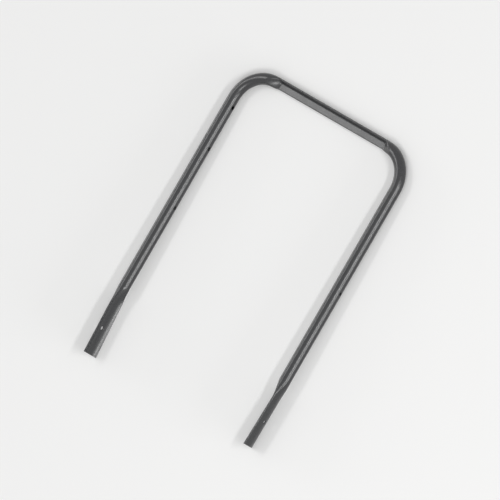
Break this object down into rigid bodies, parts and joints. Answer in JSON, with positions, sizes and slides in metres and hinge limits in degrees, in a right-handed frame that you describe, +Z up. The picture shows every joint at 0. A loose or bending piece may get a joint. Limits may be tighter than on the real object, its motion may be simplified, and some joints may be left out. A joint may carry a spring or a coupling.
{
  "type": "lawn mower handle",
  "caption": "U-shaped tubular steel mower handle with a ledge pressed into its crossbar for a bail, flattened saddle feet and cross-drilled bolt holes.",
  "frame": {"origin": "middle of the footprint, on the surface that the handle lies on", "axes": "+X along the crossbar, +Y from the feet to the crossbar, +Z up, out of the side that faces the operator"},
  "size_m": [0.508, 0.7092, 0.04],
  "materials": {
    "powder_coat": "satin"
  },
  "bodies": {
    "root": {"handle_tube": "powder_coat"}
  },
  "joints": []
}
